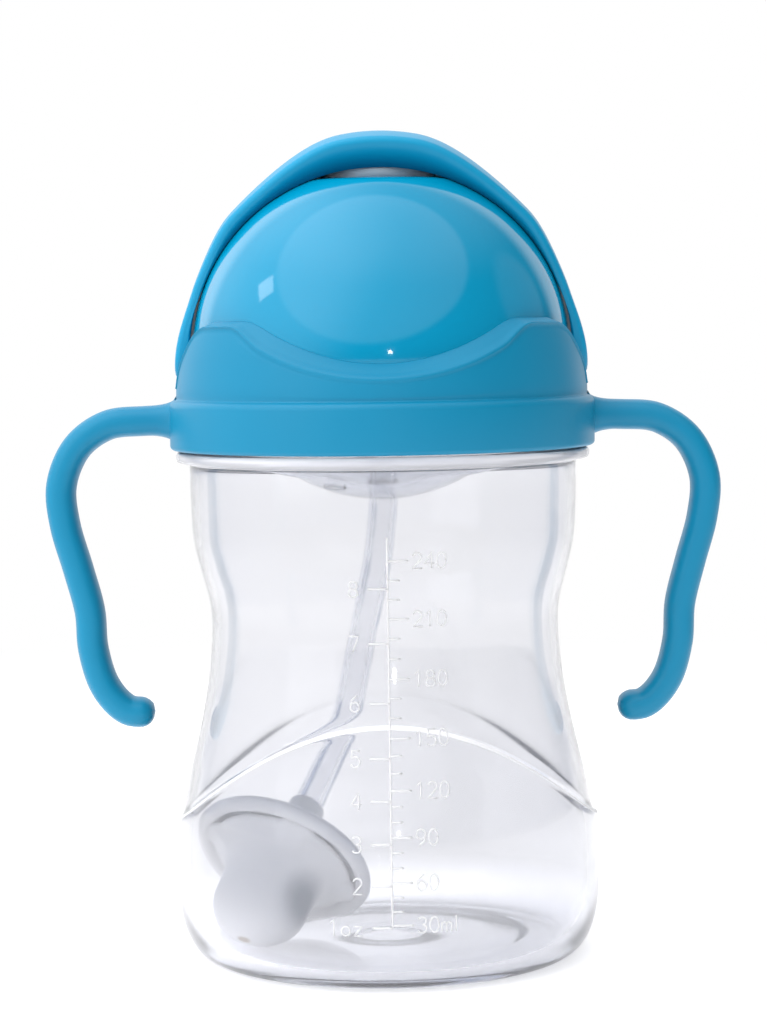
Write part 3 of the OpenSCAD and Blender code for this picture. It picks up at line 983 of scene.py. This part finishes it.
def make_vent():
    """The oval lip round the bowl's vent slit."""
    x = -8.5
    y = -10.0
    half_long = 2.2
    half_short = 0.75
    lip_half = 0.28
    middle = Vector((x, y, BOWL_Z - math.sqrt((BOWL_R + 0.1) ** 2 - x * x - y * y)))
    out = (middle - Vector((0, 0, BOWL_Z))).normalized()
    side = Vector((0, 0, 1)).cross(out).normalized()
    up = out.cross(side)
    line = [middle + side * (half_long * math.cos(a)) + up * (half_short * math.sin(a))
            for a in whole_turn(40)]
    rows = []
    for k, here in enumerate(line):
        ahead = (line[(k + 1) % len(line)] - line[k - 1]).normalized()
        across = ahead.cross(out).normalized()
        rows.append([here + lip_half * (math.cos(t) * across + math.sin(t) * out) for t in whole_turn(10)])
    return grid_piece("vent_lip", rows, "lid", "silicone", close_rows=True)


# ---- spout

def make_spout_base():
    """The round pad on the dome's flat top, with the stem that the straw is pushed onto."""
    outline = [(TUBE_BORE, STEM_END), (TUBE_R - 0.2, STEM_END), (TUBE_R, STEM_END + 0.2)]
    outline += [(TUBE_R, STEM_END + 0.5)]
    outline += [(TUBE_R, z) for z in spaced(STEM_END, DOME_FLAT_Z, 12)[1:-1]]
    outline += [(TUBE_R, DOME_FLAT_Z - 0.3), (TUBE_R, DOME_FLAT_Z)]
    outline += [(PAD_R - 0.3, DOME_FLAT_Z), (PAD_R, DOME_FLAT_Z + 0.3)]
    outline += arc((PAD_R - 0.6, PAD_TOP_Z - 0.6), 0.6, 0, 90, 6)
    outline += [(6, PAD_TOP_Z), (TUBE_BORE + 0.2, PAD_TOP_Z), (TUBE_BORE, PAD_TOP_Z - 0.3)]
    outline += [(TUBE_BORE, z) for z in spaced(PAD_TOP_Z, STEM_END, 12)[1:-1]]
    outline += [(TUBE_BORE, STEM_END + 0.3)]
    return grid_piece("spout_pad", turn_rows(outline, 96), "lid", "silicone", ["spout_base"], close_rows=True)


def paint_stem(piece, clear):
    """The thin stem below the pad is clear."""
    piece.data.materials.append(clear)
    for face in piece.data.polygons:
        if face.center.z < (DOME_FLAT_Z - 1) * MM:
            face.material_index = 1


def oval(half_w, half_t):
    """A flattened oval, as (across, through) points."""
    return [squared(angle, half_w, half_t, 0.75, 0.9) for angle in whole_turn(40)]


def make_spout():
    """The soft flat spout, folded forward: round behind, a thick lip in front, and a slot through it.

    Its stations are (how far along it, share of its width, share of its thickness).
    """
    pitch = math.radians(SPOUT_PITCH)
    ahead = Vector((0, -math.cos(pitch), math.sin(pitch)))
    up = Vector((0, math.sin(pitch), math.cos(pitch)))
    half_t = SPOUT_T / 2
    stations = []
    for degrees in spaced(8, 90, 8):
        a = math.radians(degrees)
        stations.append((-half_t * math.cos(a), 0.55 + 0.45 * math.sin(a), math.sin(a)))
    stations += [(mix(0.8, 11.2, t), mix(1, 0.86, math.sin(math.pi * t) ** 2), 1) for t in spaced(0, 1, 8)]
    stations += [(12.4, 0.94, 1), (13.6, 1, 1), (14.6, 0.99, 0.98), (15.0, 0.95, 0.9)]
    stations += [(SPOUT_LEN, 0.86, 0.76), (SPOUT_LEN, 0.62, 0.42)]
    stations += [(14.8, 0.58, 0.36), (8, 0.55, 0.34), (2, 0.5, 0.3)]
    rows = []
    for reach, wide, thick in stations:
        here = Vector(SPOUT_HINGE) + ahead * reach
        rows.append([here + Vector((across, 0, 0)) + up * through
                     for across, through in oval(SPOUT_W / 2 * wide, half_t * thick)])
    return grid_piece("spout_tip", rows, "spout", "silicone", ["spout"], caps=True)


def make_neck():
    """The soft root between the pad and the spout."""
    x, y, z = SPOUT_HINGE
    rows = []
    for share in (0, 0.15, 0.35, 0.6, 0.85, 1):
        height = mix(PAD_TOP_Z - 0.2, z, share)
        narrow = ease(share, 0, 0.625)
        rows.append([Vector((x + across, y + through, height))
                     for across, through in oval(mix(4.6, 3.6, narrow), mix(1.7, 1.2, narrow))])
    piece = grid_piece("spout_neck", rows, None, "silicone", caps=True)
    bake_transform(piece)
    return piece


# ---- weight

def weight_place():
    """Where the weight hangs, tilted, at the end of the straw."""
    turn = Matrix.Rotation(math.radians(WEIGHT_TURN), 4, "Z")
    tilt = Matrix.Rotation(math.radians(WEIGHT_TILT), 4, "Y")
    spin = Matrix.Rotation(math.radians(WEIGHT_SPIN), 4, "Z")
    return Matrix.Translation(Vector(WEIGHT_POS)) @ turn @ tilt @ spin


def make_umbrella():
    """The weight's cap: a spigot for the straw and a thick-edged umbrella with four windows."""
    top = [
        (3.2, 12.2), (3.4, 11.9), (3.4, 9.8), (3.45, 8.2), (4.1, 7.6), (6, 7.1), (7.8, 6.3), (9.6, 5.35),
        (11.4, 4.3), (13.2, 3.1), (14.2, 2.3), (15.1, 1.75), (15.9, 1.3), (16.4, 0.75), (16.7, 0.05),
    ]
    low = [
        (2.75, 12.2), (2.66, 11.9), (2.66, 9.8), (2.66, 8.2), (2.66, 7), (4.6, 5.75), (6.9, 4.9), (9.3, 3.7),
        (11.2, 2.55), (12.8, 1.25), (13.5, 0.35), (13.9, -0.6), (14.5, -1.3), (15.4, -1.55), (16.3, -1.0),
    ]
    steps = 120
    last = len(top) - 2
    place = weight_place()
    bm = bmesh.new()

    def is_open(row, k):
        """Whether a face lies in a window: two rows tall and two thirds of each quarter wide."""
        return row in (7, 8) and 15 < (k + 0.5) * 360 / steps % 90 < 75

    def layer(points):
        rows = [[(r * math.cos(a), r * math.sin(a), z) for a in whole_turn(steps)] for r, z in points]
        return [[bm.verts.new(place @ Vector(p)) for p in row] for row in rows]

    upper = layer(top)
    lower = layer(low)

    def wall(row, k, next_row, next_k):
        """A face that joins both skins along one edge."""
        bm.faces.new((upper[row][k], upper[next_row][next_k], lower[next_row][next_k], lower[row][k]))

    for row in range(last + 1):
        for k in range(steps):
            n = (k + 1) % steps
            if is_open(row, k):
                continue
            bm.faces.new((upper[row][k], upper[row][n], upper[row + 1][n], upper[row + 1][k]))
            bm.faces.new((lower[row][n], lower[row][k], lower[row + 1][k], lower[row + 1][n]))
            if row == 0 or is_open(row - 1, k):
                wall(row, n, row, k)
            if row == last or is_open(row + 1, k):
                wall(row + 1, k, row + 1, n)
            if is_open(row, n):
                wall(row + 1, n, row, n)
            if is_open(row, (k - 1) % steps):
                wall(row, k, row + 1, k)
    piece = finish_mesh("weight_umbrella", bm, "straw", ["weight_cap"])
    rounding = piece.modifiers.new("rounding", "SUBSURF")
    rounding.levels = 1
    rounding.render_levels = 2
    return piece


def make_bulb():
    """The round weight, whose bell widens into four soft webs under the umbrella."""
    bell = curve([(BULB_R, BULB_MID), (8.4, -8), (8.8, -5.6), (9.8, -3.6), (11.4, -2.1), (12.8, -1.3)], 6)
    outline = arc((0, BULB_MID), BULB_R, -90, -3, 26) + [(p.x, p.y) for p in bell]
    outline += [(12.97, -1.05), (13, -0.8), (12.9, -0.5), (12.7, -0.35), (11, 0.1), (9, 0.6), (7.6, 2.4)]
    outline += [(7, 4.4), (6.2, 4.4), (6.2, -1.2), (0, -1.6)]
    web_out = 1.5
    web_top = 1
    place = weight_place()
    rows = []
    for r, z in outline:
        row = []
        for angle in whole_turn(144):
            degrees = math.degrees(angle) % 90
            web = 1 - ease(min(degrees, 90 - degrees), 7, 16)
            reach = r + web_out * web * ease(r, 8.6, 12.6) * (z < web_top)
            row.append(place @ Vector((reach * math.cos(angle), reach * math.sin(angle), z)))
        rows.append(row)
    return grid_piece("weight_body", rows, "straw", "weight_plastic", ["weight_bulb"])


# ---- stage, in metres

LIGHT_TARGET = Vector((0, 0, 0.09))
ROOM_LIGHT = 0.12

# The room's soft patches of light, as (direction, cosine at the edge, cosine where it is full, strength).
GLOWS = [
    ((0, 1, 0.15), 0.6, 0.76, 1.0),
    ((-0.08, -0.545, 0.839), 0.595, 0.65, 0.8),
    ((-1, -0.1, 0.55), 0.25, 0.95, 1.2),
    ((1, 0.25, 0.35), 0.93, 0.97, 0.3),
    ((0, 0.1, 1), 0.5, 0.9, 0.5),
]


def add_area(name, place, size, power):
    """A square area light that faces the cup's middle."""
    data = bpy.data.lights.new(name, "AREA")
    data.shape = "SQUARE"
    data.size = size
    data.energy = power
    light = bpy.data.objects.new(name, data)
    bpy.context.scene.collection.objects.link(light)
    light.location = place
    light.rotation_euler = (LIGHT_TARGET - Vector(place)).to_track_quat("-Z", "Y").to_euler()
    return light


def make_stage():
    """A wide plain floor, a little below the foot ring so that the two don't share a plane."""
    size = 1.5
    bm = bmesh.new()
    add_grid(bm, [[(x, y, 0) for x in (-size, size)] for y in (-size, size)], close_columns=False)
    mesh = bpy.data.meshes.new("floor")
    bm.to_mesh(mesh)
    bm.free()
    floor = bpy.data.objects.new("floor", mesh)
    floor.location.z = -0.2 * MM
    bpy.context.scene.collection.objects.link(floor)
    paint(pale_floor(), floor)


def add_glow(tree, direction, edge, full, strength=1.0):
    """A soft patch of light on the room's wall, round a direction. The edge and full are cosines."""
    place = add_node(tree, "TexCoord")
    facing = add_node(tree, "VectorMath", place.outputs["Generated"], Vector(direction).normalized())
    facing.operation = "DOT_PRODUCT"
    return add_fade(tree, facing.outputs["Value"], edge, full, strength)


def add_room_light(tree):
    """A dim room with soft patches of light, which lights the cup and shows in its gloss."""
    total = ROOM_LIGHT
    for glow in GLOWS:
        total = add_node(tree, "Math", total, add_glow(tree, *glow)).outputs[0]
    return add_node(tree, "Background", Color=(0.98, 0.98, 1, 1), Strength=total)


def add_far_wall(tree):
    """What is seen through clear plastic: a white wall behind the cup, blue-grey towards its sides."""
    glow = add_glow(tree, (0.12, 1, 0), 0.84, 0.985)
    colour = add_colours(tree, glow, (0.2, 0.25, 0.37, 1), (1, 1, 1, 1))
    return add_node(tree, "Background", Color=colour, Strength=1.18)


def make_world():
    """A room that is white to the camera and through clear plastic, and dim with soft patches otherwise."""
    world = bpy.data.worlds.new("studio")
    bpy.context.scene.world = world
    world.use_nodes = True
    tree = world.node_tree
    tree.nodes.clear()
    path = add_node(tree, "LightPath")
    white = add_node(tree, "Background", Color=(1, 1, 1, 1), Strength=1.0)
    behind = choose(tree, path.outputs["Is Transmission Ray"], add_room_light(tree), add_far_wall(tree))
    surface = choose(tree, path.outputs["Is Camera Ray"], behind, white)
    add_node(tree, "OutputWorld", Surface=surface.outputs[0])


def make_lights():
    """Broad lights that leave no shape of their own in the gloss, and two small ones that do."""
    broad = [
        ("top", (-0.25, -0.3, 1.0), 0.7, 3.8),
        ("key", (-0.42, -0.36, 0.2), 0.35, 0.48),
        ("front", (-0.3, -0.9, -0.05), 0.6, 0.3),
        ("back", (-0.3, 0.9, 0.6), 0.8, 0.9),
    ]
    for name, place, size, power in broad:
        add_area(name, place, size, power).visible_glossy = False
    spark = add_area("left_spark", (-0.69, -0.08, 0.5), 0.13, 0.22)
    spark.rotation_euler.rotate_axis("Z", math.radians(45))
    add_area("low_spark", (0.07, -0.75, 0.11), 0.025, 0.08)


def set_view():
    """Plain colours, and enough bounces for light to cross the cup's walls."""
    bounces = 24
    scene = bpy.context.scene
    scene.view_settings.view_transform = "Standard"
    scene.cycles.max_bounces = bounces
    scene.cycles.transmission_bounces = bounces
    scene.cycles.transparent_max_bounces = bounces


make_camera()
straw, straw_path, straw_length = make_straw()
umbrella = make_umbrella()
bulb = make_bulb()
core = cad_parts["weight_core"]

cup = make_cup()
thread = make_thread()
scale = make_scale()
collar = make_collar()
handles = make_handles()
dome = make_dome()
hood = make_hood()
studs = make_studs()
bowl = make_bowl()
vent = make_vent()
pad = make_spout_base()
spout = make_spout()
neck = make_neck()

marks_and_highlight = frosted_marks_and_crest_highlight()
silicone = clear_silicone()
paint(clear_plastic(), cup, thread)
paint_cup(cup, marks_and_highlight, bead_painted_light_plastic())
paint(marks_and_highlight, scale)
# Painted light and shade: one blue plastic in two copies, darker on the collar and handles, lighter on the
# hood and studs, for how the light falls on them.
paint(satin_blue("satin_blue_collar_painted_shade", 0.86), collar, *handles)
paint(satin_blue("satin_blue_hood_painted_light", 1.15), hood, *studs)
paint(gloss_blue(), dome)
paint(silicone, straw, bowl, vent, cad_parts["rim_seal"])
# Partly painted light: the pad, spout and neck are milky pale blue, so that they look lit under the hood's
# shade.
paint(milky_silicone_painted_light(), pad, spout, neck)
paint_stem(pad, silicone)
paint(milky_plastic(), umbrella, bulb)
paint(plain_steel(), core)

make_stage()
make_world()
make_lights()
set_view()
